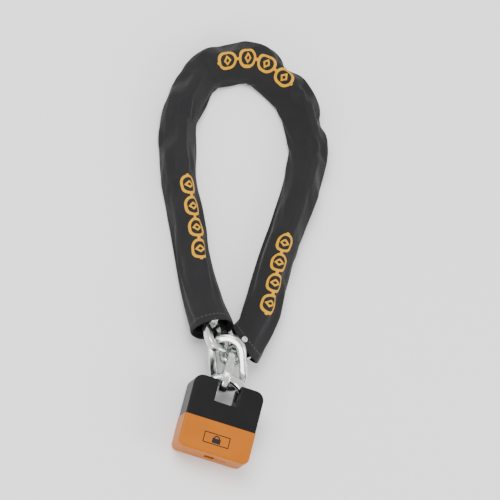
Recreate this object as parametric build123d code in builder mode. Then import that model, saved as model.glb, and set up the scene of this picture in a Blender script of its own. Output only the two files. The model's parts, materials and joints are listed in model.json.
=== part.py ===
"""Chain lock: a closed-shackle padlock joined to a sleeved square-section chain, millimetres, +Z up.

The lock leans on its lower back edge. Its pieces are drawn in the lock's own frame (X across,
Y towards the shackle, Z out of the front face, origin at the middle of the back face) and then
seated. The chain lies on the floor in a loop whose two ends meet at the shackle bow.
"""

from build123d import *
import math
import os

# ---------------------------------------------------------------- lock case
LOCK_WIDTH = 88.0
LOCK_HEIGHT = 90.0
LOCK_DEPTH = 36.0
LOWER_COVER_HEIGHT = 39.2
COVER_GAP = 0.2  # joint line between the two covers
UPPER_INSET = 0.7  # how far the upper cover stands inside the lower one
JACKET_WALL = 2.5
JACKET_FIT = 0.1  # play between covers and steel body
TOP_CORNER = 12.0
BOTTOM_CORNER = 8.0
UPPER_EDGE = 1.2
LOWER_EDGE = 2.8
SLOT_WIDTH = 28.0
SLOT_DEPTH = 27.0
BOTTOM_SPACE = 4.5  # cover floor plus dust cover pocket, below the steel body

# ---------------------------------------------------------------- shackle
SHACKLE_DIAMETER = 12.0
SHACKLE_SPACING = 49.0
BOW_REACH = 8.0  # from the case's top to the bar's centreline at the top of the bow
BOW_SPOT = (50.197, 30.638)  # Y and Z where the chain holds the top of the bow
LEG_FIT = 0.15
CHANNEL_FIT = 0.4
SHACKLE_LIFT = 22.0
NECK_RADIUS = 3.3
NECK_LENGTH = 26.0
NECK_TOP = -2.0
HEEL_COLLAR = 4.0
TOE_END = -4.0
PIN_RADIUS = 1.5
PIN_GAP = 0.25
SEAL_HEIGHT = 2.0
SEAL_WALL = 1.1
SPRING_WIRE = 1.0
SPRING_PITCH = 1.7
SPRING_TURNS = 3
SPRING_CLEARANCE = 0.4

# ---------------------------------------------------------------- locking parts
CYLINDER_RADIUS = 11.6
CYLINDER_TOP = -12.0
DRILL_PLATE = 2.0
PLUG_RADIUS = 8.0
PLUG_FIT = 0.15
PLUG_WALL = 1.8
PLUG_END_WALL = 2.0
KEYWAY_RADIUS = 3.2
DISC_COUNT = 7
DISC_THICKNESS = 1.6
DISC_PITCH = 2.9
DISC_FIT = 0.1
DISC_SLOT = (6.4, 2.2)
SIDEBAR_WIDTH = 1.8
SIDEBAR_LENGTH = 17.0
BALL_RADIUS = 5.0
BALL_HEIGHT = 4.0  # Y of the locking balls
BALL_TRAVEL = 2.8
BALL_FIT = 0.15
BALL_ENGAGE = 2.5  # how deep a driven ball sits in its leg
NOTCH_FIT = 0.3
CAM_GAP = 0.5
CAM_THICKNESS = 9.8
TAIL_SIDE = 6.0

# ---------------------------------------------------------------- dust cover and screws
DUST_PLATE = (18.0, 1.8, 13.0)
DUST_TRAVEL = 15.0
DUST_FIT = 0.3
KEY_WINDOW = (12.0, 9.0)
THUMB_NUB = (3.0, 1.8)
COVER_SCREW_X = 36.0
COVER_SCREW_Y = (-30.0, 12.0)
SCREW_HEAD_RADIUS = 2.8
SCREW_HEAD = 1.5
SCREW_RADIUS = 1.5
SCREW_GRIP = 8.0

# ---------------------------------------------------------------- chain
CHAIN_BAR = 10.0
BAR_ROUNDING = 3.2
LINK_WIDTH = 34.0
LINK_LENGTH = 60.0
RING_WIDTH = 46.0
RING_LENGTH = 72.0
CHAIN_HEIGHT = 18.4  # centreline of the chain inside the sleeve
RUN_INTERVALS = 20

# Rest places of the links that can be seen at the shackle: centre, then heading, rise and roll
# in degrees. Heading turns about +Z from +X, rise lifts the long axis, roll turns about it.
LEFT_MOUTH_LINK = ((-45.0, 133.0, 22.4), (-64, 18, 105))
LEFT_END_LINK = ((-30.0, 100.0, 33.0), (-71, 19, 28))
END_RING = ((-5.0, 71.0, 27.0), (120, 36, 35))
SHACKLE_LINK = ((-3.5, 61.0, 27.5), (86, -14, -83))
RIGHT_END_LINK = ((6.5, 95.0, 21.0), (-130, 5, -13))
RIGHT_MOUTH_LINK = ((22.0, 128.0, 18.6), (-106, 1, 84))

# Corners of the chain's route on the floor, from the left end of the loop to the right end.
ROUTE = [
    (-60.5, 167.5),
    (-84, 230),
    (-113, 292),
    (-129, 350),
    (-127, 405),
    (-102, 447),
    (-60, 468),
    (-12, 454),
    (30, 413),
    (46, 352),
    (38, 286),
    (27, 222),
    (28, 163),
]
START_TWIST = -10.0  # degrees of twist at the first sleeved links
ARC_SHARE = 0.45  # share of the shorter run that each arc may take

# ---------------------------------------------------------------- sleeve
SLEEVE_CLEAR = (39.0, 36.4)  # width and height inside the sleeve
SLEEVE_WALL = 0.9
SLEEVE_CORNER = 15.0
RIGHT_BEND = (31, 124)  # the sleeve's right end turns here to follow its last link
RIGHT_MOUTH = (13, 102.5)
RIGHT_BEND_RADIUS = 32.0
LEFT_LEVEL_REACH = 25.0  # the left end runs level this far, then rises to its mouth
LEFT_MOUTH = (-32, 104)
LEFT_MOUTH_RISE = 12.5
LEFT_MOUTH_CLEAR = (46.0, 43.0)
TONGUE_WIDTH = 14.0
TONGUE_LENGTH = 12.0
TONGUE_OFFSET = -4.0
RIVET_RADIUS = 3.6
RIVET_HEAD = 1.4
RIVET_SHANK = 1.6

# ---------------------------------------------------------------- derived places
HALF_WIDTH = LOCK_WIDTH / 2
TOP = LOCK_HEIGHT / 2
BOTTOM = -LOCK_HEIGHT / 2
MIDDLE = LOCK_DEPTH / 2
JOINT_LINE = BOTTOM + LOWER_COVER_HEIGHT
SLOT_FLOOR = TOP - SLOT_DEPTH
CORE_INSET = UPPER_INSET + JACKET_WALL + JACKET_FIT
CORE_BOTTOM = BOTTOM + BOTTOM_SPACE
LEG_X = SHACKLE_SPACING / 2
LEG_RADIUS = SHACKLE_DIAMETER / 2
BOW_TOP = TOP + BOW_REACH
BOW_CENTRE = BOW_TOP - LEG_X
NECK_BOTTOM = NECK_TOP - NECK_LENGTH
HEEL_END = NECK_BOTTOM - HEEL_COLLAR
SPRING_SPACE = SPRING_PITCH * SPRING_TURNS + SPRING_WIRE + SPRING_CLEARANCE
HEEL_HOLE_END = HEEL_END - SPRING_SPACE
PIN_X = -(LEG_X + NECK_RADIUS + PIN_RADIUS + PIN_GAP)
PIN_Y = NECK_TOP - PIN_RADIUS - 0.5
BALL_OUT_X = LEG_X - LEG_RADIUS + BALL_ENGAGE - BALL_RADIUS
BALL_REST_X = BALL_OUT_X - BALL_TRAVEL
CAM_LONG = BALL_OUT_X - BALL_RADIUS - CAM_GAP
CAM_SHORT = CAM_LONG - BALL_TRAVEL
CAM_BOTTOM = BALL_HEIGHT - CAM_THICKNESS / 2
CAM_TOP = BALL_HEIGHT + CAM_THICKNESS / 2
CYLINDER_BOTTOM = CORE_BOTTOM + DRILL_PLATE
PLUG_BOTTOM = CYLINDER_BOTTOM + PLUG_FIT
PLUG_TOP = CYLINDER_TOP - PLUG_FIT
CHANNEL_HALF = LEG_RADIUS + CHANNEL_FIT
SEAL_RADIUS = LEG_RADIUS + LEG_FIT + SEAL_WALL

# The lock's seat: its lower back edge rests on the floor, and it leans back just so far that the
# top of the bow reaches the chain.
BOW_FROM_EDGE = BOW_TOP + TOP
LEAN = math.asin(BOW_SPOT[1] / math.hypot(BOW_FROM_EDGE, MIDDLE)) - math.atan2(MIDDLE, BOW_FROM_EDGE)
SEAT_Y = BOW_SPOT[0] - BOW_TOP * math.cos(LEAN) + MIDDLE * math.sin(LEAN)
SEAT = Location(
    Plane(
        origin=(0, SEAT_Y, TOP * math.sin(LEAN)),
        x_dir=(1, 0, 0),
        z_dir=(0, -math.sin(LEAN), math.cos(LEAN)),
    )
)
FLOOR = Location()

pieces = {}


def keep(name, piece, place=FLOOR):
    """Put a finished piece at its place in the assembly and file it under its name."""
    piece = piece.moved(place)
    piece.label = name
    pieces[name] = piece


def along_y(x, y):
    """Plane square to the lock's long axis, for what is bored or turned along it."""
    return Plane(origin=(x, y, MIDDLE), x_dir=(1, 0, 0), z_dir=(0, 1, 0))


def along_x(x, y):
    """Plane square to the lock's width."""
    return Plane(origin=(x, y, MIDDLE), x_dir=(0, 1, 0), z_dir=(1, 0, 0))


def rod(plane, radius, length):
    """Round bar from a plane, used as a cutter or as stock."""
    with BuildPart() as bar:
        with BuildSketch(plane):
            Circle(radius)
        extrude(amount=length)
    return bar.part


def block(x_range, y_range, z_range):
    """Box between limits."""
    with BuildPart() as box:
        centre = [(low + high) / 2 for low, high in (x_range, y_range, z_range)]
        with Locations(tuple(centre)):
            Box(*[high - low for low, high in (x_range, y_range, z_range)])
    return box.part


def shrouded_block(inset, bottom, z_range):
    """U-shaped body outline, inset all round, with the shackle slot open at the top."""
    with BuildPart() as body:
        with BuildSketch(Plane.XY.offset(z_range[0])):
            with Locations((0, (bottom + TOP - inset) / 2)):
                Rectangle(LOCK_WIDTH - 2 * inset, TOP - inset - bottom)
            with Locations((0, TOP)):
                slot_inset = inset - UPPER_INSET
                Rectangle(SLOT_WIDTH + 2 * slot_inset, 2 * (SLOT_DEPTH + slot_inset), mode=Mode.SUBTRACT)
        extrude(amount=z_range[1] - z_range[0])
        outer = body.edges().filter_by(Axis.Z).filter_by(
            lambda e: abs(e.center().X) > HALF_WIDTH - inset - 0.1 and e.center().Y > 0
        )
        fillet(outer, TOP_CORNER - inset)
    return body.part


def shackle_channel():
    """Room between the shoulders' front and back walls for the bow to drop into."""
    reach = LEG_X + CHANNEL_HALF
    return block((-reach, reach), (BOW_CENTRE, TOP + 1), (MIDDLE - CHANNEL_HALF, MIDDLE + CHANNEL_HALF))


core_z = (CORE_INSET, LOCK_DEPTH - CORE_INSET)
core_blank = shrouded_block(CORE_INSET, CORE_BOTTOM, core_z)
core_room = shrouded_block(CORE_INSET - JACKET_FIT, CORE_BOTTOM, (core_z[0] - JACKET_FIT, core_z[1] + JACKET_FIT))
channel = shackle_channel()
screw_spots = [(side * COVER_SCREW_X, y) for side in (-1, 1) for y in COVER_SCREW_Y]

# ---------------------------------------------------------------- steel body
with BuildPart() as body_core:
    add(core_blank)
    add(channel, mode=Mode.SUBTRACT)
    # Cylinder bore from below, blind under the slot.
    add(rod(along_y(0, CORE_BOTTOM), CYLINDER_RADIUS, CAM_TOP + 0.5 - CORE_BOTTOM), mode=Mode.SUBTRACT)
    # The cam turns in the bore's end, which is no narrower than the cam needs.
    chamber_radius = max(CYLINDER_RADIUS, CAM_LONG + CAM_GAP)
    chamber = rod(along_y(0, CAM_BOTTOM - CAM_GAP), chamber_radius, CAM_THICKNESS + CAM_GAP + 0.5)
    add(chamber, mode=Mode.SUBTRACT)
    # Shackle bores, the heel's deeper to hold its spring.
    for leg_x, bore_end in ((-LEG_X, HEEL_HOLE_END), (LEG_X, TOE_END - 1.5)):
        bore = rod(along_y(leg_x, bore_end), LEG_RADIUS + LEG_FIT, BOW_CENTRE + 1 - bore_end)
        add(bore, mode=Mode.SUBTRACT)
        seat_cut = rod(along_y(leg_x, BOW_CENTRE - SEAL_HEIGHT), SEAL_RADIUS, SEAL_HEIGHT + 1)
        add(seat_cut, mode=Mode.SUBTRACT)
    # Cross bore for the locking balls.
    add(rod(along_x(-LEG_X, BALL_HEIGHT), BALL_RADIUS + BALL_FIT, 2 * LEG_X), mode=Mode.SUBTRACT)
    # Shackle retaining pin and cover screws.
    with Locations((PIN_X, PIN_Y, MIDDLE)):
        Cylinder(PIN_RADIUS, LOCK_DEPTH, mode=Mode.SUBTRACT)
    with Locations(*[(x, y, core_z[0] + SCREW_GRIP / 2) for x, y in screw_spots]):
        Cylinder(SCREW_RADIUS, SCREW_GRIP, mode=Mode.SUBTRACT)
keep("body_core", body_core.part, SEAT)

# ---------------------------------------------------------------- covers
upper_z = (UPPER_INSET, LOCK_DEPTH - UPPER_INSET)
lower_z = (0, LOCK_DEPTH)


def screw_cut(spots, face):
    """Stepped holes through a cover's back wall for the cover screws."""
    with BuildPart() as cut:
        for x, y in spots:
            with Locations((x, y, face + SCREW_HEAD / 2)):
                Cylinder(SCREW_HEAD_RADIUS, SCREW_HEAD)
            with Locations((x, y, (face + core_z[0]) / 2)):
                Cylinder(SCREW_RADIUS, core_z[0] - face)
    return cut.part


upper_spots = [spot for spot in screw_spots if spot[1] > JOINT_LINE]
lower_spots = [spot for spot in screw_spots if spot[1] < JOINT_LINE]

with BuildPart() as upper_cover:
    add(shrouded_block(UPPER_INSET, JOINT_LINE + COVER_GAP, upper_z))
    rims = upper_cover.faces().filter_by(Axis.Z).edges()
    fillet(rims.filter_by(lambda e: e.center().Y > JOINT_LINE + 1), UPPER_EDGE)
    add(core_room, mode=Mode.SUBTRACT)
    add(channel, mode=Mode.SUBTRACT)
    add(screw_cut(upper_spots, UPPER_INSET), mode=Mode.SUBTRACT)
keep("upper_cover", upper_cover.part, SEAT)

pocket_low = BOTTOM + BOTTOM_SPACE - DUST_PLATE[1] - 2 * DUST_FIT
window_half = KEY_WINDOW[0] / 2
plate_half = DUST_PLATE[0] / 2

with BuildPart() as lower_cover:
    with BuildSketch():
        with Locations((0, (BOTTOM + JOINT_LINE) / 2)):
            Rectangle(LOCK_WIDTH, LOWER_COVER_HEIGHT)
    extrude(amount=LOCK_DEPTH)
    fillet(lower_cover.edges().filter_by(Axis.Z).group_by(Axis.Y)[0], BOTTOM_CORNER)
    rims = lower_cover.faces().filter_by(Axis.Z).edges()
    fillet(rims.filter_by(lambda e: e.center().Y < JOINT_LINE - 1), LOWER_EDGE)
    add(core_room, mode=Mode.SUBTRACT)
    # Pocket for the dust cover, key window and thumb slot through the floor.
    pocket_half = DUST_PLATE[2] / 2 + DUST_FIT
    pocket_x = (-plate_half - DUST_FIT, plate_half + DUST_TRAVEL + DUST_FIT)
    add(
        block(pocket_x, (pocket_low, CORE_BOTTOM), (MIDDLE - pocket_half, MIDDLE + pocket_half)),
        mode=Mode.SUBTRACT,
    )
    window_z = (MIDDLE - KEY_WINDOW[1] / 2, MIDDLE + KEY_WINDOW[1] / 2)
    add(block((-window_half, window_half), (BOTTOM - 1, pocket_low), window_z), mode=Mode.SUBTRACT)
    thumb_z = MIDDLE - THUMB_NUB[1] / 2 - DUST_FIT, MIDDLE + THUMB_NUB[1] / 2 + DUST_FIT
    thumb_reach = window_half + DUST_TRAVEL
    add(block((0, thumb_reach), (BOTTOM - 1, pocket_low), thumb_z), mode=Mode.SUBTRACT)
    add(screw_cut(lower_spots, 0), mode=Mode.SUBTRACT)
keep("lower_cover", lower_cover.part, SEAT)

with BuildPart() as dust_cover:
    plate_y = pocket_low + DUST_FIT + DUST_PLATE[1] / 2
    with Locations((0, plate_y, MIDDLE)):
        Box(*DUST_PLATE)
    nub_x = window_half - THUMB_NUB[0] / 2 - DUST_FIT
    nub_low = BOTTOM + 0.6
    add(
        block(
            (nub_x - THUMB_NUB[0] / 2, nub_x + THUMB_NUB[0] / 2),
            (nub_low, plate_y),
            (MIDDLE - THUMB_NUB[1] / 2, MIDDLE + THUMB_NUB[1] / 2),
        )
    )
keep("keyhole_dust_cover", dust_cover.part, SEAT)

with BuildPart() as cover_screws:
    for spots, face in ((upper_spots, UPPER_INSET), (lower_spots, 0)):
        for x, y in spots:
            with Locations((x, y, face + SCREW_HEAD / 2 + 0.1)):
                Cylinder(SCREW_HEAD_RADIUS, SCREW_HEAD - 0.2)
            with Locations((x, y, (face + SCREW_HEAD + core_z[0] + SCREW_GRIP) / 2 - 0.2)):
                Cylinder(SCREW_RADIUS, core_z[0] + SCREW_GRIP - face - SCREW_HEAD)
keep("cover_screws", cover_screws.part, SEAT)

# ---------------------------------------------------------------- shackle
ball_notch = BALL_RADIUS + NOTCH_FIT

with BuildPart() as shackle:
    with BuildLine(Plane.XY.offset(MIDDLE)) as shackle_path:
        Line((-LEG_X, HEEL_END), (-LEG_X, BOW_CENTRE))
        ThreePointArc((-LEG_X, BOW_CENTRE), (0, BOW_TOP), (LEG_X, BOW_CENTRE))
        Line((LEG_X, BOW_CENTRE), (LEG_X, TOE_END))
    with BuildSketch(along_y(-LEG_X, HEEL_END)):
        Circle(LEG_RADIUS)
    sweep(path=shackle_path.wires()[0])
    # Turned neck on the heel leg, which the retaining pin rides in.
    with BuildSketch(along_y(-LEG_X, NECK_BOTTOM)):
        Circle(LEG_RADIUS + 1)
        Circle(NECK_RADIUS, mode=Mode.SUBTRACT)
    extrude(amount=NECK_LENGTH, mode=Mode.SUBTRACT)
    with Locations((-BALL_OUT_X, BALL_HEIGHT, MIDDLE), (BALL_OUT_X, BALL_HEIGHT, MIDDLE)):
        Sphere(ball_notch, mode=Mode.SUBTRACT)
    chamfer(shackle.faces().sort_by(Axis.Y)[0].edges(), 0.8)
keep("shackle", shackle.part, SEAT)

with BuildPart() as retaining_pin:
    with Locations((PIN_X, PIN_Y, MIDDLE)):
        Cylinder(PIN_RADIUS, core_z[1] - core_z[0])
keep("shackle_retaining_pin", retaining_pin.part, SEAT)

spring_foot = HEEL_HOLE_END + SPRING_CLEARANCE / 2 + SPRING_WIRE / 2
spring_radius = LEG_RADIUS - SPRING_WIRE
with BuildPart() as shackle_spring:
    with BuildLine() as coil:
        Helix(
            SPRING_PITCH,
            SPRING_PITCH * SPRING_TURNS,
            spring_radius,
            center=(-LEG_X, spring_foot, MIDDLE),
            direction=(0, 1, 0),
        )
    with BuildSketch(Plane(origin=coil.line @ 0, z_dir=coil.line % 0)):
        Circle(SPRING_WIRE / 2)
    sweep(path=coil.wires()[0], is_frenet=True)
keep("shackle_spring", shackle_spring.part, SEAT)

for side, leg_x in (("heel", -LEG_X), ("toe", LEG_X)):
    with BuildPart() as seal:
        with BuildSketch(along_y(leg_x, BOW_CENTRE - SEAL_HEIGHT)):
            Circle(SEAL_RADIUS)
            Circle(LEG_RADIUS + LEG_FIT, mode=Mode.SUBTRACT)
        extrude(amount=SEAL_HEIGHT)
    keep(f"{side}_shackle_seal", seal.part, SEAT)

# ---------------------------------------------------------------- cylinder
with BuildPart() as drill_plate:
    with BuildSketch(along_y(0, CORE_BOTTOM)):
        Circle(CYLINDER_RADIUS)
        Circle(KEYWAY_RADIUS + 1, mode=Mode.SUBTRACT)
    extrude(amount=DRILL_PLATE)
keep("drill_plate", drill_plate.part, SEAT)

with BuildPart() as cylinder_housing:
    with BuildSketch(along_y(0, CYLINDER_BOTTOM)):
        Circle(CYLINDER_RADIUS)
        Circle(PLUG_RADIUS + PLUG_FIT, mode=Mode.SUBTRACT)
    extrude(amount=CYLINDER_TOP - CYLINDER_BOTTOM)
    groove = SIDEBAR_WIDTH / 2 + PLUG_FIT
    groove_z = (MIDDLE + PLUG_RADIUS - 1, MIDDLE + PLUG_RADIUS + 1.4)
    add(block((-groove, groove), (CYLINDER_BOTTOM - 1, CYLINDER_TOP + 1), groove_z), mode=Mode.SUBTRACT)
keep("cylinder_housing", cylinder_housing.part, SEAT)

disc_radius = PLUG_RADIUS - PLUG_WALL - DISC_FIT
plug_floor = PLUG_BOTTOM + PLUG_END_WALL
sidebar_y = (plug_floor + 1.0, plug_floor + 1.0 + SIDEBAR_LENGTH)
sidebar_z = (MIDDLE + disc_radius + DISC_FIT + 0.05, MIDDLE + PLUG_RADIUS - 0.15)

with BuildPart() as key_plug:
    add(rod(along_y(0, PLUG_BOTTOM), PLUG_RADIUS, PLUG_TOP - PLUG_BOTTOM))
    with BuildSketch(along_y(0, PLUG_TOP)):
        Rectangle(TAIL_SIDE, TAIL_SIDE)
    extrude(amount=CAM_TOP - PLUG_TOP)
    cavity_length = PLUG_TOP - PLUG_END_WALL - plug_floor
    add(rod(along_y(0, plug_floor), PLUG_RADIUS - PLUG_WALL, cavity_length), mode=Mode.SUBTRACT)
    add(rod(along_y(0, PLUG_BOTTOM - 1), KEYWAY_RADIUS, PLUG_END_WALL + 2), mode=Mode.SUBTRACT)
    bar_room = SIDEBAR_WIDTH / 2 + DISC_FIT
    add(
        block(
            (-bar_room, bar_room),
            (sidebar_y[0] - DISC_FIT, sidebar_y[1] + DISC_FIT),
            (MIDDLE + disc_radius - 1, MIDDLE + PLUG_RADIUS + 1),
        ),
        mode=Mode.SUBTRACT,
    )
keep("key_plug", key_plug.part, SEAT)

with BuildPart() as locking_cam:
    with BuildSketch(along_y(0, CAM_BOTTOM)):
        Ellipse(CAM_SHORT, CAM_LONG)
        Rectangle(TAIL_SIDE, TAIL_SIDE, mode=Mode.SUBTRACT)
    extrude(amount=CAM_THICKNESS)
keep("locking_cam", locking_cam.part, SEAT)

with BuildPart() as disc_stack:
    for number in range(DISC_COUNT):
        with BuildSketch(along_y(0, plug_floor + 0.5 + number * DISC_PITCH)):
            Circle(disc_radius)
            with Locations(Location((0, 0, 0), 15 * number)):
                SlotOverall(*DISC_SLOT, mode=Mode.SUBTRACT)
        extrude(amount=DISC_THICKNESS)
keep("disc_stack", disc_stack.part, SEAT)

keep("sidebar", block((-SIDEBAR_WIDTH / 2, SIDEBAR_WIDTH / 2), sidebar_y, sidebar_z), SEAT)

for side, sign in (("left", -1), ("right", 1)):
    with BuildPart() as ball:
        with Locations((sign * BALL_REST_X, BALL_HEIGHT, MIDDLE)):
            Sphere(BALL_RADIUS)
    keep(f"{side}_locking_ball", ball.part, SEAT)


# ---------------------------------------------------------------- chain links
def link_place(centre, angles):
    """Location of a link from its centre and its heading, rise and roll in degrees."""
    heading, rise, roll = (math.radians(angle) for angle in angles)
    long_axis = Vector(
        math.cos(rise) * math.cos(heading), math.cos(rise) * math.sin(heading), math.sin(rise)
    )
    upright = Vector(
        -math.sin(rise) * math.cos(heading), -math.sin(rise) * math.sin(heading), math.cos(rise)
    )
    face = upright * math.cos(roll) + upright.cross(long_axis) * math.sin(roll)
    return Location(Plane(origin=centre, x_dir=long_axis, z_dir=face))


def chain_link(width, length):
    """Closed link of rounded square bar, lying flat with its long axis along X."""
    bend = (width - CHAIN_BAR) / 2
    straight = (length - width) / 2
    with BuildPart() as link:
        with BuildLine() as loop:
            Line((-straight, -bend), (straight, -bend))
            ThreePointArc((straight, -bend), (straight + bend, 0), (straight, bend))
            Line((straight, bend), (-straight, bend))
            ThreePointArc((-straight, bend), (-straight - bend, 0), (-straight, -bend))
        with BuildSketch(Plane(origin=(-straight, -bend, 0), z_dir=(1, 0, 0))):
            RectangleRounded(CHAIN_BAR, CHAIN_BAR, BAR_ROUNDING)
        sweep(path=loop.wires()[0])
    return link.part


plain_link = chain_link(LINK_WIDTH, LINK_LENGTH)
keep("shackle_link", plain_link, link_place(*SHACKLE_LINK))
keep("right_end_link", plain_link, link_place(*RIGHT_END_LINK))
keep("left_end_link", plain_link, link_place(*LEFT_END_LINK))
keep("end_ring", chain_link(RING_WIDTH, RING_LENGTH), link_place(*END_RING))


# ---------------------------------------------------------------- sleeved run
def arc_radii(points):
    """One arc radius for each inner corner of a route, as large as its two runs allow."""
    radii = []
    for before, corner, after in zip(points, points[1:], points[2:]):
        run_in = Vector(*corner) - Vector(*before)
        run_out = Vector(*after) - Vector(*corner)
        half_turn = math.radians(run_in.get_angle(run_out)) / 2
        radii.append(ARC_SHARE * min(run_in.length, run_out.length) / math.tan(half_turn))
    return radii


route_radii = arc_radii(ROUTE)
print("route radii", [round(radius, 1) for radius in route_radii])
with BuildLine(Plane.XY.offset(CHAIN_HEIGHT)) as route_line:
    FilletPolyline(*ROUTE, radius=route_radii)
route = route_line.wires()[0]
print("route length", round(route.length, 1), "pitch", round(route.length / RUN_INTERVALS, 2))

# Links lie flat and upright in turn. An upright link turns about the middle of its own end bar
# inside the flat link beside it, so those bar middles are the joints of the run.
pitch = route.length / RUN_INTERVALS
end_bar = (LINK_LENGTH - CHAIN_BAR) / 2


def route_point(distance):
    """Point of the route at a distance along it, straight on past either end."""
    if distance < 0:
        return route @ 0 + (route % 0) * distance
    if distance > route.length:
        return route @ 1 + (route % 1) * (distance - route.length)
    return route.position_at(distance / route.length)


run_places = []
for step in range(RUN_INTERVALS + 1):
    upright = step % 2 == 1
    reach = end_bar if upright else pitch - end_bar
    near_joint = route_point(step * pitch - reach)
    far_joint = route_point(step * pitch + reach)
    way = far_joint - near_joint
    heading = math.degrees(math.atan2(way.Y, way.X))
    roll = (90 if upright else 0) + START_TWIST * max(0, 1 - step / 2)
    run_places.append(link_place(tuple((near_joint + far_joint) / 2), (heading, 0, roll)))

keep("sleeved_link_01", plain_link, link_place(*LEFT_MOUTH_LINK))
for number, place in enumerate(run_places, start=2):
    keep(f"sleeved_link_{number:02d}", plain_link, place)
keep(f"sleeved_link_{RUN_INTERVALS + 3:02d}", plain_link, link_place(*RIGHT_MOUTH_LINK))


# ---------------------------------------------------------------- sleeve
sleeve_top = SLEEVE_CLEAR[1] + 2 * SLEEVE_WALL


def upright_plane(point, direction):
    """Plane square to a level direction, with its Y axis straight up."""
    return Plane(origin=point, x_dir=Vector(-direction.Y, direction.X, 0), z_dir=direction)


def sleeve_section(plane, clear, wall):
    """Rounded outline of the sleeve on an upright plane: its bore, or its outside with a wall."""
    with BuildSketch(plane) as section:
        with Locations((0, sleeve_top / 2 - CHAIN_HEIGHT)):
            RectangleRounded(clear[0] + 2 * wall, clear[1] + 2 * wall, SLEEVE_CORNER)
    return section.sketch


route_start = route @ 0
start_way = route % 0
level_end = route_start - start_way * LEFT_LEVEL_REACH
left_mouth = Vector(*LEFT_MOUTH, CHAIN_HEIGHT + LEFT_MOUTH_RISE)
mouth_way = Vector(*LEFT_MOUTH, CHAIN_HEIGHT) - level_end
right_way = (Vector(*RIGHT_MOUTH) - Vector(*RIGHT_BEND)).normalized()
right_mouth = Vector(*RIGHT_MOUTH, CHAIN_HEIGHT)

with BuildLine(Plane.XY.offset(CHAIN_HEIGHT)) as right_end_line:
    FilletPolyline(ROUTE[-1], RIGHT_BEND, RIGHT_MOUTH, radius=RIGHT_BEND_RADIUS)

with BuildLine() as sleeve_path:
    Line(level_end, route_start)
    add(route)
    add(right_end_line.line)


def sleeve_body(wall):
    """The sleeve's filled shape: its outside, or its bore when the wall is nothing."""
    with BuildPart() as body:
        add(sleeve_section(upright_plane(level_end, start_way), SLEEVE_CLEAR, wall))
        sweep(path=sleeve_path.wires()[0])
        add(sleeve_section(upright_plane(level_end, start_way), SLEEVE_CLEAR, wall))
        add(sleeve_section(upright_plane(left_mouth, mouth_way * -1), LEFT_MOUTH_CLEAR, wall))
        loft()
    return body.part


with BuildPart() as sleeve:
    add(sleeve_body(SLEEVE_WALL))
    add(sleeve_body(0), mode=Mode.SUBTRACT)
    # Tongue of the right end, which carries the rivet.
    with BuildSketch(upright_plane(right_mouth, right_way)):
        with Locations((TONGUE_OFFSET, SLEEVE_CLEAR[1] + 1.5 * SLEEVE_WALL - CHAIN_HEIGHT)):
            Rectangle(TONGUE_WIDTH, SLEEVE_WALL)
    extrude(amount=TONGUE_LENGTH)
    tongue_side = Vector(-right_way.Y, right_way.X, 0)
    rivet_spot = right_mouth + right_way * (TONGUE_LENGTH / 2) + tongue_side * TONGUE_OFFSET
    with Locations((rivet_spot.X, rivet_spot.Y, sleeve_top)):
        Cylinder(RIVET_SHANK, 4 * SLEEVE_WALL, mode=Mode.SUBTRACT)
keep("sleeve", sleeve.part)

with BuildPart() as sleeve_rivet:
    with Locations((rivet_spot.X, rivet_spot.Y, sleeve_top + RIVET_HEAD / 2)):
        Cylinder(RIVET_RADIUS, RIVET_HEAD)
    fillet(sleeve_rivet.faces().sort_by(Axis.Z)[-1].edges(), RIVET_HEAD * 0.6)
    with Locations((rivet_spot.X, rivet_spot.Y, sleeve_top - SLEEVE_WALL / 2)):
        Cylinder(RIVET_SHANK, SLEEVE_WALL)
    with Locations((rivet_spot.X, rivet_spot.Y, sleeve_top - SLEEVE_WALL - RIVET_HEAD / 4)):
        Cylinder(RIVET_RADIUS, RIVET_HEAD / 2)
keep("sleeve_rivet", sleeve_rivet.part)

# ---------------------------------------------------------------- files
# The assembly's origin is on the floor, under the middle of its outline.
limits = [piece.bounding_box() for piece in pieces.values()]
middle_x = (min(box.min.X for box in limits) + max(box.max.X for box in limits)) / 2
middle_y = (min(box.min.Y for box in limits) + max(box.max.Y for box in limits)) / 2
floor_z = min(box.min.Z for box in limits)
origin_shift = Location((-middle_x, -middle_y, -floor_z))
print("origin shift", -middle_x, -middle_y, -floor_z)

os.makedirs("parts", exist_ok=True)
for name, piece in pieces.items():
    placed = piece.moved(origin_shift)
    placed.label = name
    export_step(placed, f"parts/{name}.step")
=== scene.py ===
# %% [markdown]
# # A chain lock: metal, moulded plastic and a woven sleeve
# The padlock, links and pins come ready made and fixed in place. This file gives them their
# finishes, draws the woven sleeve over the chain by cloth simulation, and sets the picture up.

# %% Load the fixed frame
import bpy
import bmesh
import json
import math
from mathutils import Vector, Matrix, noise

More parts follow.
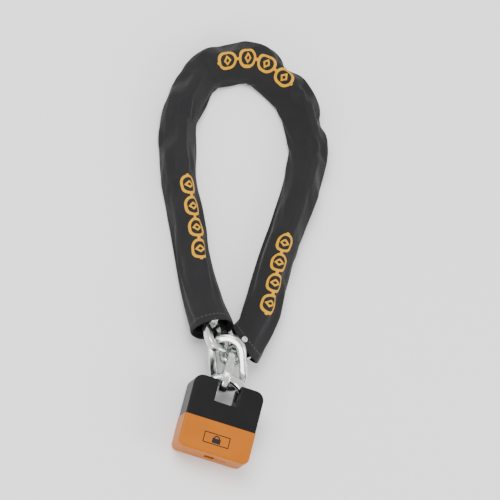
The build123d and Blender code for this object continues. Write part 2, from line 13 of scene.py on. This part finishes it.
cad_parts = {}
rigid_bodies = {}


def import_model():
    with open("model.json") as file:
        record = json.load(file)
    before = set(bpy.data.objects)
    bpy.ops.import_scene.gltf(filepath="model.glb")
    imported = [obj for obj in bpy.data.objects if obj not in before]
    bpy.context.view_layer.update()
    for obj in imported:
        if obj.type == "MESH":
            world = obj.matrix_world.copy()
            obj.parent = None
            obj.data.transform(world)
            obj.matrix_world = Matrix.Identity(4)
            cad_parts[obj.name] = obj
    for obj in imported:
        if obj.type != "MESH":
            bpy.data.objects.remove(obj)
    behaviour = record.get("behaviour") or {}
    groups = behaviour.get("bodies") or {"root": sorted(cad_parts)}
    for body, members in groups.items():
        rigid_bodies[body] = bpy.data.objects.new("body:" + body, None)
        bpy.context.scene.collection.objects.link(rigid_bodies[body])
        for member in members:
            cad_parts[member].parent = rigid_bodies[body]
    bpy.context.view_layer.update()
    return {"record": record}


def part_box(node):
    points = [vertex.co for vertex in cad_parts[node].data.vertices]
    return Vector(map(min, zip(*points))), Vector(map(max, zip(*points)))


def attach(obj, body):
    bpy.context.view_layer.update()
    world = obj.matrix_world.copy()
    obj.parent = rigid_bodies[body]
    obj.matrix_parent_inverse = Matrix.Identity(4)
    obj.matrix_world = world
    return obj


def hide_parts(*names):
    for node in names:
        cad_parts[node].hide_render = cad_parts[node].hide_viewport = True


for leftover in list(bpy.data.objects):
    bpy.data.objects.remove(leftover)
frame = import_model()
MM = 0.001


def middle(node):
    """Middle of a node's box."""
    low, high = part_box(node)
    return (low + high) / 2


# %% [markdown]
# The picture is taken from high in front of the padlock's left side with a long lens, so the lock
# and the far end of the loop keep nearly the same scale. The camera's axes are worked out from
# three angles: how far it is turned, how high it stands and how far it is rolled.

# %% Camera
CAMERA_TURN = math.radians(25.9)
CAMERA_HEIGHT = math.radians(63.56)
CAMERA_ROLL = math.radians(41.3)
CAMERA_DISTANCE = 6.0
FIELD = 0.586
SENSOR = 36.0

level = Vector((math.cos(CAMERA_TURN), -math.sin(CAMERA_TURN), 0))
toward = Vector((
    -math.sin(CAMERA_TURN) * math.cos(CAMERA_HEIGHT),
    -math.cos(CAMERA_TURN) * math.cos(CAMERA_HEIGHT),
    math.sin(CAMERA_HEIGHT),
))
rise = toward.cross(level)
right = level * math.cos(CAMERA_ROLL) + rise * math.sin(CAMERA_ROLL)
up = rise * math.cos(CAMERA_ROLL) - level * math.sin(CAMERA_ROLL)

bow_low, bow_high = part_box("shackle")
bow_top = Vector(((bow_low.x + bow_high.x) / 2, bow_high.y, bow_high.z))
aim = bow_top + right * 21.5 * MM + up * 143.5 * MM
camera = bpy.data.objects.new("camera", bpy.data.cameras.new("camera"))
camera.data.lens = SENSOR * CAMERA_DISTANCE / FIELD
camera.data.sensor_width = SENSOR
camera.data.clip_end = 50
axes = Matrix((right, up, toward)).transposed().to_4x4()
camera.matrix_world = Matrix.Translation(aim + toward * CAMERA_DISTANCE) @ axes
bpy.context.scene.collection.objects.link(camera)
bpy.context.scene.camera = camera
print("camera lens", round(camera.data.lens), "mm")

# %% [markdown]
# A product on white paper wants a pale floor and big soft lamps: one broad lamp above, weaker ones
# from the right and the front, and a light world so that the metal has something bright to
# reflect. The black jacket and sleeve give the links their dark streaks.

# %% Floor and lights
FLOOR_REACH = 3.0


def new_object(name, mesh):
    """A new object for a mesh, linked to the scene."""
    thing = bpy.data.objects.new(name, mesh)
    bpy.context.scene.collection.objects.link(thing)
    return thing


def mesh_from(name, work, smooth=True):
    """Turn a bmesh into an object with smooth or flat faces."""
    mesh = bpy.data.meshes.new(name)
    work.to_mesh(mesh)
    work.free()
    mesh.polygons.foreach_set("use_smooth", [smooth] * len(mesh.polygons))
    return new_object(name, mesh)


work = bmesh.new()
bmesh.ops.create_grid(work, x_segments=1, y_segments=1, size=FLOOR_REACH)
floor = mesh_from("floor", work, smooth=False)


def soft_lamp(name, place, size, power):
    """Square area lamp that looks at the middle of the object."""
    lamp = bpy.data.objects.new(name, bpy.data.lights.new(name, "AREA"))
    lamp.data.energy = power
    lamp.data.size = size
    lamp.location = place
    lamp.rotation_euler = (-Vector(place)).to_track_quat("-Z", "Y").to_euler()
    bpy.context.scene.collection.objects.link(lamp)


soft_lamp("top_lamp", (-0.7, 0.5, 1.9), 1.4, 40)
soft_lamp("right_lamp", (1.5, -0.3, 0.9), 0.7, 13)
soft_lamp("front_lamp", (-0.6, -1.6, 0.8), 0.6, 11)

world = bpy.data.worlds.new("studio")
bpy.context.scene.world = world
world.use_nodes = True
world.node_tree.nodes["Background"].inputs["Color"].default_value = (1, 1, 1, 1)
world.node_tree.nodes["Background"].inputs["Strength"].default_value = 1.0

# %% [markdown]
# Materials are written as sums. A small class wraps a node socket, and its operators add Math
# nodes, so a pattern reads like a formula instead of a web of links.

# %% A socket that does sums


class Wire:
    """An output socket with arithmetic."""

    def __init__(self, tree, socket):
        self.tree = tree
        self.socket = socket

    def math(self, operation, *others):
        node = self.tree.nodes.new("ShaderNodeMath")
        node.operation = operation
        for slot_in, value in zip(node.inputs, (self, *others)):
            if isinstance(value, Wire):
                self.tree.links.new(value.socket, slot_in)
            else:
                slot_in.default_value = value
        return Wire(self.tree, node.outputs[0])

    def __add__(self, other):
        return self.math("ADD", other)

    __radd__ = __add__

    def __mul__(self, other):
        return self.math("MULTIPLY", other)

    __rmul__ = __mul__

    def __sub__(self, other):
        return self.math("SUBTRACT", other)

    def __rsub__(self, other):
        return self.math("MULTIPLY_ADD", -1, other)

    def below(self, limit, soft):
        """1 under the limit, 0 over it, with an edge this soft."""
        return ((limit - self) * (1 / soft) + 0.5).clamp()

    def clamp(self):
        return self.math("MINIMUM", 1).math("MAXIMUM", 0)

    def absolute(self):
        return self.math("ABSOLUTE")


class Finish:
    """A material with its shader and short ways to add nodes."""

    def __init__(self, name, **constants):
        self.material = bpy.data.materials.new(name)
        self.material.use_nodes = True
        self.tree = self.material.node_tree
        self.shader = self.tree.nodes["Principled BSDF"]
        for socket, value in constants.items():
            self.shader.inputs[socket.replace("_", " ")].default_value = value

    def node(self, kind, settings=None, output=0, **inputs):
        """Add a node: its settings first, then the values or links of its sockets."""
        node = self.tree.nodes.new(kind)
        for key, value in (settings or {}).items():
            setattr(node, key, value)
        for key, value in inputs.items():
            self.feed(node.inputs[key.replace("_", " ")], value)
        return Wire(self.tree, node.outputs[output])

    def feed(self, socket, value):
        if isinstance(value, Wire):
            self.tree.links.new(value.socket, socket)
        else:
            socket.default_value = value

    def place(self):
        return self.node("ShaderNodeTexCoord", output="Object")

    def noise(self, scale, detail=3.0, vector=None, rough=0.5):
        where = self.place() if vector is None else vector
        return self.node(
            "ShaderNodeTexNoise", Vector=where, Scale=scale, Detail=detail, Roughness=rough
        )

    def mix(self, share, low, high):
        """Colour between two colours or colour links."""
        node = self.tree.nodes.new("ShaderNodeMix")
        node.data_type = "RGBA"
        for index, value in ((0, share), (6, low), (7, high)):
            self.feed(node.inputs[index], value)
        return Wire(self.tree, node.outputs[2])

    def use(self, bump=None, distance=0.0001, strength=1.0, **links):
        """Link wires to the shader, with an optional height for bump."""
        for socket, wire in links.items():
            self.feed(self.shader.inputs[socket.replace("_", " ")], wire)
        if bump is not None:
            normal = self.node("ShaderNodeBump", Height=bump, Distance=distance, Strength=strength)
            self.feed(self.shader.inputs["Normal"], normal)
        return self.material


def colour(red, green, blue):
    return (red, green, blue, 1)


# %% [markdown]
# The paper floor is almost white and quite dull, with no pattern to pull the eye.

# %% Floor finish
paper = Finish("paper", Base_Color=colour(0.95, 0.95, 0.95), Roughness=0.85)
floor.data.materials.append(paper.use(Roughness=paper.noise(3) * 0.05 + 0.82))

# %% [markdown]
# Zinc-plated links are bright with a cool green-grey cast, and cloudy where the plating is
# thicker. A coarse and a fine noise vary the roughness and the bump, so the broad highlights break
# up as they do on plated chain.


# %% Metals
def plated(name, light, dark, rough, cloud):
    """Plated or bare metal with a cloudy tone and a fine unevenness."""
    metal = Finish(name, Metallic=1.0)
    clouds = metal.noise(cloud, 4)
    marks = metal.noise(900, 2)
    tone = metal.mix((clouds * 1.6 - 0.3).clamp(), colour(*dark), colour(*light))
    return metal.use(
        bump=clouds * 0.6 + marks * 0.4,
        distance=0.00012,
        strength=0.5,
        Base_Color=tone,
        Roughness=clouds * 0.16 + marks * 0.1 + rough,
    )


chain_zinc = plated("chain_zinc", (0.86, 0.88, 0.85), (0.5, 0.54, 0.51), 0.1, 140)
shackle_chrome = plated("shackle_chrome", (0.88, 0.88, 0.87), (0.62, 0.63, 0.63), 0.06, 60)
body_steel = plated("body_steel", (0.5, 0.5, 0.5), (0.3, 0.3, 0.31), 0.28, 90)
fastener_steel = plated("fastener_steel", (0.8, 0.8, 0.79), (0.6, 0.6, 0.6), 0.16, 200)
cylinder_brass = plated("cylinder_brass", (0.8, 0.62, 0.33), (0.58, 0.42, 0.2), 0.2, 150)

# %% [markdown]
# The two jackets are moulded. Their faces carry a fine spark-eroded grain, so the plastic shines
# softly instead of like glass, and the colour drifts a little with the flow of the moulding. The
# orange front has a plain padlock in a thin frame printed on it. A height limit keeps the ink off
# the other faces.

# %% Plastics and rubber
LEAN = math.radians(7.5)
cover_low, cover_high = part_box("lower_cover")
PRINT_X = (cover_low.x + cover_high.x) / 2
PRINT_Y = cover_high.y - 0.0255
INK = colour(0.012, 0.012, 0.012)


def padlock_print(plastic):
    """Where the ink lies: 1 on the drawn padlock and its frame."""
    spot = plastic.place()
    x = plastic.node("ShaderNodeSeparateXYZ", output=0, Vector=spot) - PRINT_X
    y = plastic.node("ShaderNodeSeparateXYZ", output=1, Vector=spot) - PRINT_Y
    z = plastic.node("ShaderNodeSeparateXYZ", output=2, Vector=spot)
    x = x.absolute()
    y = y * (1 / math.cos(LEAN))
    soft = 0.0002
    body = x.below(0.0052, soft) * (y + 0.0018).absolute().below(0.0030, soft)
    bow_spot = y - 0.0008
    bow_ring = ((x * x + bow_spot * bow_spot).math("SQRT") - 0.0032).absolute().below(0.0008, soft)
    bow = bow_ring * (1 - bow_spot.below(0.0, soft))
    border = (x - 0.0155).math("MAXIMUM", y.absolute() - 0.0062).absolute().below(0.0006, soft)
    drawn = body.math("MAXIMUM", bow).math("MAXIMUM", border)
    return drawn * (1 - z.below(0.030, 0.001))


def moulded(name, light, dark, rough, grain=1500, mark=None):
    """Moulded plastic or rubber with a fine grain and slightly uneven tone."""
    plastic = Finish(name, Specular_IOR_Level=0.2)
    drift = plastic.noise(35, 3)
    pits = plastic.noise(grain, 2)
    tone = plastic.mix((drift * 1.5 - 0.25).clamp(), colour(*dark), colour(*light))
    if mark:
        tone = plastic.mix(mark(plastic), tone, INK)
    return plastic.use(
        bump=pits,
        distance=0.00008,
        strength=0.45,
        Base_Color=tone,
        Roughness=drift * 0.1 + pits * 0.08 + rough,
    )


black_jacket = moulded("black_jacket", (0.004, 0.004, 0.0045), (0.0025, 0.0025, 0.003), 0.3)
orange_jacket = moulded(
    "orange_jacket", (0.45, 0.125, 0.0), (0.38, 0.1, 0.0), 0.34, mark=padlock_print
)
dust_plastic = moulded("dust_plastic", (0.012, 0.012, 0.012), (0.008, 0.008, 0.008), 0.5)
seal_rubber = moulded("seal_rubber", (0.012, 0.012, 0.012), (0.008, 0.008, 0.008), 0.6, 700)

FINISHES = {
    "body_steel": body_steel,
    "black_jacket": black_jacket,
    "orange_jacket": orange_jacket,
    "fastener_steel": fastener_steel,
    "seal_rubber": seal_rubber,
    "brass": cylinder_brass,
    "shackle_steel": shackle_chrome,
    "dust_plastic": dust_plastic,
    "chain_steel": chain_zinc,
    "sleeve_fabric": seal_rubber,
}
for part in frame["record"]["subparts"]:
    mesh = bpy.data.objects[part["node"]].data
    mesh.materials.clear()
    mesh.materials.append(FINISHES[part["material_slot"]])

# %% [markdown]
# The sleeve is a woven tube. Its centreline runs through the middles of the links it hides, so the
# cloth starts as an oval tube round them and then settles.

# %% Centreline and starting tube
RINGS = 216
AROUND = 46
HALF_WIDE, HALF_TALL = 0.0238, 0.01895
LEFT_END_FLARE = 1.08
RIGHT_END_SLANT = 0.009
RIGHT_END_FLAP = 0.013
SLACK = 1.08
FLOOR_PLAY = 0.0002
FLARE_REACH = 0.03
SLANT_RINGS = 14
CURVE_STEPS = 12

left_mouth = middle("sleeved_link_01") + Vector((13.0, -29.0, 8.5)) * MM
right_mouth = middle("sleeved_link_23") + Vector((-9.0, -25.5, 0)) * MM
stops = [left_mouth]
for number in range(1, 24):
    spot = middle("sleeved_link_%02d" % number)
    spot.z = max(spot.z, HALF_TALL + FLOOR_PLAY) if number == 1 else HALF_TALL + FLOOR_PLAY
    stops.append(spot)
stops.append(Vector((right_mouth.x, right_mouth.y, HALF_TALL + FLOOR_PLAY)))


def smooth_line(points, steps):
    """Even points on a Catmull-Rom curve through the given ones."""
    ends = [points[0] * 2 - points[1], *points, points[-1] * 2 - points[-2]]
    fine = []
    for a, b, c, d in zip(ends, ends[1:], ends[2:], ends[3:]):
        for i in range(CURVE_STEPS):
            t = i / CURVE_STEPS
            fine.append(
                0.5
                * (
                    2 * b
                    + (c - a) * t
                    + (2 * a - 5 * b + 4 * c - d) * t * t
                    + (3 * b - a - 3 * c + d) * t * t * t
                )
            )
    fine.append(points[-1])
    for _ in range(10):
        fine = [
            fine[0],
            *((p + 2 * q + r) / 4 for p, q, r in zip(fine, fine[1:], fine[2:])),
            fine[-1],
        ]
    reach = [0.0]
    for p, q in zip(fine, fine[1:]):
        reach.append(reach[-1] + (q - p).length)
    even = []
    at = 0
    for k in range(steps):
        want = reach[-1] * k / (steps - 1)
        while at < len(reach) - 2 and reach[at + 1] < want:
            at += 1
        share = (want - reach[at]) / (reach[at + 1] - reach[at])
        even.append(fine[at].lerp(fine[at + 1], min(1, share)))
    return even, reach[-1]


line, sleeve_length = smooth_line(stops, RINGS)
around_length = math.pi * (
    3 * (HALF_WIDE + HALF_TALL)
    - math.sqrt((3 * HALF_WIDE + HALF_TALL) * (HALF_WIDE + 3 * HALF_TALL))
)


def distance_along(node):
    """How far along the centreline a hidden link sits."""
    spot = middle(node)
    best = min(range(RINGS), key=lambda i: (line[i].xy - spot.xy).length)
    return sleeve_length * best / (RINGS - 1)


def flare(index):
    """How much wider than its middle the tube is at this ring."""
    from_left = index / (RINGS - 1) * sleeve_length
    return 1 + (LEFT_END_FLARE - 1) * math.exp(-((from_left / FLARE_REACH) ** 2))


def lump(index, turn):
    """Uneven size of the tube, so that the cloth doesn't start as a perfect oval."""
    ring_spot = Vector((math.sin(turn) * 1.3, math.cos(turn) * 1.3, index * 0.11))
    return 1 + 0.2 * noise.noise(ring_spot)


def mouth_reach(turn):
    """The right mouth is cut aslant, and its upper side reaches on as a flap for the rivet."""
    return RIGHT_END_FLAP * max(0, -math.cos(turn)) - RIGHT_END_SLANT * math.sin(turn)


work = bmesh.new()
uv = work.loops.layers.uv.new("UVMap")
rows = []
for index, spot in enumerate(line):
    ahead = line[min(RINGS - 1, index + 1)] - line[max(0, index - 1)]
    across = Vector((ahead.y, -ahead.x, 0)).normalized()
    over = across.cross(ahead).normalized()
    size = flare(index)
    near_end = max(0, 1 - (RINGS - 1 - index) / SLANT_RINGS)
    rows.append([
        work.verts.new(
            spot
            + across * HALF_WIDE * size * max(1, lump(index, turn)) * math.sin(turn)
            + over * -HALF_TALL * size * math.cos(turn)
            + ahead.normalized() * near_end * mouth_reach(turn)
        )
        for turn in (2 * math.pi * k / AROUND for k in range(AROUND))
    ])
for i in range(RINGS - 1):
    for k in range(AROUND):
        face = work.faces.new(
            (rows[i][k], rows[i][(k + 1) % AROUND], rows[i + 1][(k + 1) % AROUND], rows[i + 1][k])
        )
        for loop, (a, b) in zip(face.loops, ((i, k), (i, k + 1), (i + 1, k + 1), (i + 1, k))):
            loop[uv].uv = (
                a / (RINGS - 1) * sleeve_length,
                (b / AROUND - 0.5) * around_length,
            )
bmesh.ops.recalc_face_normals(work, faces=work.faces)
sleeve = mesh_from("woven_sleeve", work)
print("sleeve", round(sleeve_length, 3), "m long,", round(around_length, 3), "m around")

# %% [markdown]
# The cloth is let down on the links by the cloth solver. The sleeve was sewn as a straight tube a
# little longer than its chain, so that is its unstretched shape, and the inside of a bend can
# crease. The solver works at ten times the real size, because its distances suit bigger pieces.
# Each link is stood in for by the hull of its points. Some cloth under the links still dips about
# half a millimetre into them, out of sight. Both mouths are held in shape.

# %% Let the sleeve settle
SIM_SCALE = 10
FRAMES = 30
GAP = 0.0012


def hulls(names):
    """One mesh with the convex hull of each node."""
    work = bmesh.new()
    for name in names:
        points = bmesh.new()
        points.from_mesh(bpy.data.objects[name].data)
        bmesh.ops.remove_doubles(points, verts=points.verts, dist=0.0012)
        corners = [work.verts.new(v.co * SIM_SCALE) for v in points.verts]
        points.free()
        made = bmesh.ops.convex_hull(work, input=corners, use_existing_faces=False)
        unused = {v for v in made["geom_interior"] + made["geom_unused"] if isinstance(v, bmesh.types.BMVert)}
        bmesh.ops.delete(work, geom=list(unused), context="VERTS")
    bmesh.ops.recalc_face_normals(work, faces=work.faces)
    return mesh_from("link_hulls", work, smooth=False)


inside = ["sleeved_link_%02d" % n for n in range(1, 24)] + ["left_end_link", "right_end_link"]
blocks = hulls(inside)
work = bmesh.new()
bmesh.ops.create_grid(work, x_segments=1, y_segments=1, size=5)
ground = mesh_from("sim_ground", work, smooth=False)
for block in (blocks, ground):
    block.modifiers.new("collision", "COLLISION")
    block.collision.thickness_outer = GAP * SIM_SCALE / 2
    block.collision.cloth_friction = 8
print("hull faces", len(blocks.data.polygons))

sleeve.data.transform(Matrix.Scale(SIM_SCALE, 4))
held = sleeve.vertex_groups.new(name="held")
for i in range(RINGS):
    from_end = min(i, RINGS - 1 - i)
    if from_end < 4:
        grip = (1.0, 0.9, 0.5, 0.2)[from_end]
        held.add([i * AROUND + k for k in range(AROUND)], grip, "REPLACE")
sleeve.shape_key_add(name="laid")
straight_tube = sleeve.shape_key_add(name="straight")
for i in range(RINGS):
    for k in range(AROUND):
        turn = 2 * math.pi * k / AROUND
        straight_tube.data[i * AROUND + k].co = Vector((
            HALF_WIDE * math.sin(turn),
            i / (RINGS - 1) * sleeve_length * SLACK,
            -HALF_TALL * math.cos(turn),
        )) * SIM_SCALE
straight_tube.value = 0
cloth = sleeve.modifiers.new("cloth", "CLOTH")
cloth.settings.rest_shape_key = straight_tube
cloth.settings.quality = 7
cloth.settings.mass = 0.25
cloth.settings.tension_stiffness = 30
cloth.settings.compression_stiffness = 12
cloth.settings.shear_stiffness = 8
cloth.settings.bending_stiffness = 0.3
cloth.settings.air_damping = 2
cloth.settings.vertex_group_mass = "held"
cloth.collision_settings.distance_min = GAP * SIM_SCALE / 2
cloth.collision_settings.collision_quality = 4
cloth.point_cache.frame_start = 1
cloth.point_cache.frame_end = FRAMES
for step in range(1, FRAMES + 1):
    bpy.context.scene.frame_set(step)
settled = bpy.data.meshes.new_from_object(
    sleeve.evaluated_get(bpy.context.evaluated_depsgraph_get())
)
sleeve.modifiers.clear()
sleeve.vertex_groups.clear()
sleeve.shape_key_clear()
sleeve.data = settled
sleeve.data.transform(Matrix.Scale(1 / SIM_SCALE, 4))
for block in (blocks, ground):
    bpy.data.objects.remove(block)
bpy.context.scene.frame_set(1)
print("settled for", FRAMES, "frames")

# %% [markdown]
# The woven cloth is a fine plain weave of charcoal thread. Its pattern is laid out in the sleeve's
# own metres: along it in one direction and round it in the other. A chain motif is woven in with
# yellow thread at three places, and each mouth has a stitched hem.

# %% Woven finish
THREAD = 0.0011
MOTIF_CELL = 0.027
MOTIF_HALF_TALL = 0.0125
MOTIFS = (
    distance_along("sleeved_link_04"),
    distance_along("sleeved_link_12"),
    distance_along("sleeved_link_21"),
)

woven = Finish("woven_sleeve")
sheet_place = woven.node("ShaderNodeUVMap", {"uv_map": "UVMap"})
along = woven.node("ShaderNodeSeparateXYZ", output=0, Vector=sheet_place)
around = woven.node("ShaderNodeSeparateXYZ", output=1, Vector=sheet_place)
warp = (along * (2 * math.pi / THREAD)).math("SINE")
weft = (around * (2 * math.pi / THREAD)).math("SINE")
weave = warp * weft * 0.5 + 0.5
threads = ((along + around) * (math.pi / THREAD)).math("SINE") * 0.5 + 0.5

motif = None
for centre in MOTIFS:
    cell = (along - centre + 40 * MOTIF_CELL).math("FLOORED_MODULO", MOTIF_CELL)
    sideways = (cell - MOTIF_CELL / 2).absolute()
    straight = (sideways - 0.002).math("MAXIMUM", 0)
    ring = ((straight * straight * 1.15 + around * around).math("SQRT") - 0.0092).absolute()
    outline = ring.below(0.0017, 0.0003)
    joining = around.absolute().below(0.0016, 0.0003) * (1 - sideways.below(0.0112, 0.0003))
    chevron = ((around.absolute() * 0.8 + sideways) - 0.0036).absolute().below(0.0013, 0.0003)
    drawn = outline.math("MAXIMUM", joining).math("MAXIMUM", chevron)
    patch = (along - centre).absolute().below(2 * MOTIF_CELL, 0.0005)
    shown = drawn * patch * around.absolute().below(MOTIF_HALF_TALL, 0.0003)
    motif = shown if motif is None else motif.math("MAXIMUM", shown)

hem_edge = along.math("MINIMUM", sleeve_length - along)
stitch_row = (hem_edge - 0.0085).absolute().below(0.0006, 0.0003)
stitch = stitch_row * (around * (2 * math.pi / 0.004)).math("SINE").math("GREATER_THAN", -0.2)
fibres = woven.noise(1500, 3)
soil = woven.noise(28, 4)
charcoal = woven.mix((soil * 1.4 - 0.2).clamp(), colour(0.005, 0.005, 0.006), colour(0.012, 0.012, 0.013))
charcoal = woven.mix(weave * 0.55, charcoal, colour(0.02, 0.02, 0.021))
charcoal = woven.mix(stitch, charcoal, colour(0.05, 0.05, 0.052))
yellow = woven.mix(threads * 0.5, colour(0.72, 0.36, 0.0), colour(0.52, 0.22, 0.0))
woven.shader.inputs["Specular IOR Level"].default_value = 0.25
woven.shader.inputs["Sheen Weight"].default_value = 0.06
woven.shader.inputs["Sheen Roughness"].default_value = 0.4
woven.use(
    bump=weave * 0.6 + fibres * 0.4 + motif * 0.5 + stitch * 0.8,
    distance=0.0003,
    strength=0.7,
    Base_Color=woven.mix(motif * 0.95, charcoal, yellow),
    Roughness=fibres * 0.15 + 0.72,
)

# %% [markdown]
# The settled sheet gets the woven finish, one level of smoothing and the thickness of the cloth,
# which grows inwards so that the outline stays as it fell.

# %% Finished sleeve
CLOTH = 0.0009


def clothe(piece):
    """Smooth a sheet, thicken it and give it the woven finish."""
    piece.data.materials.clear()
    piece.data.materials.append(woven.material)
    piece.data.polygons.foreach_set("use_smooth", [True] * len(piece.data.polygons))
    smooth = piece.modifiers.new("smooth", "SUBSURF")
    smooth.levels = smooth.render_levels = 1
    thick = piece.modifiers.new("thick", "SOLIDIFY")
    thick.thickness = CLOTH
    thick.offset = -1


clothe(sleeve)

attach(sleeve, "shackle_link")
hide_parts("sleeve")
sleeve_length * SLACK
print("sleeve faces", len(sleeve.data.polygons))
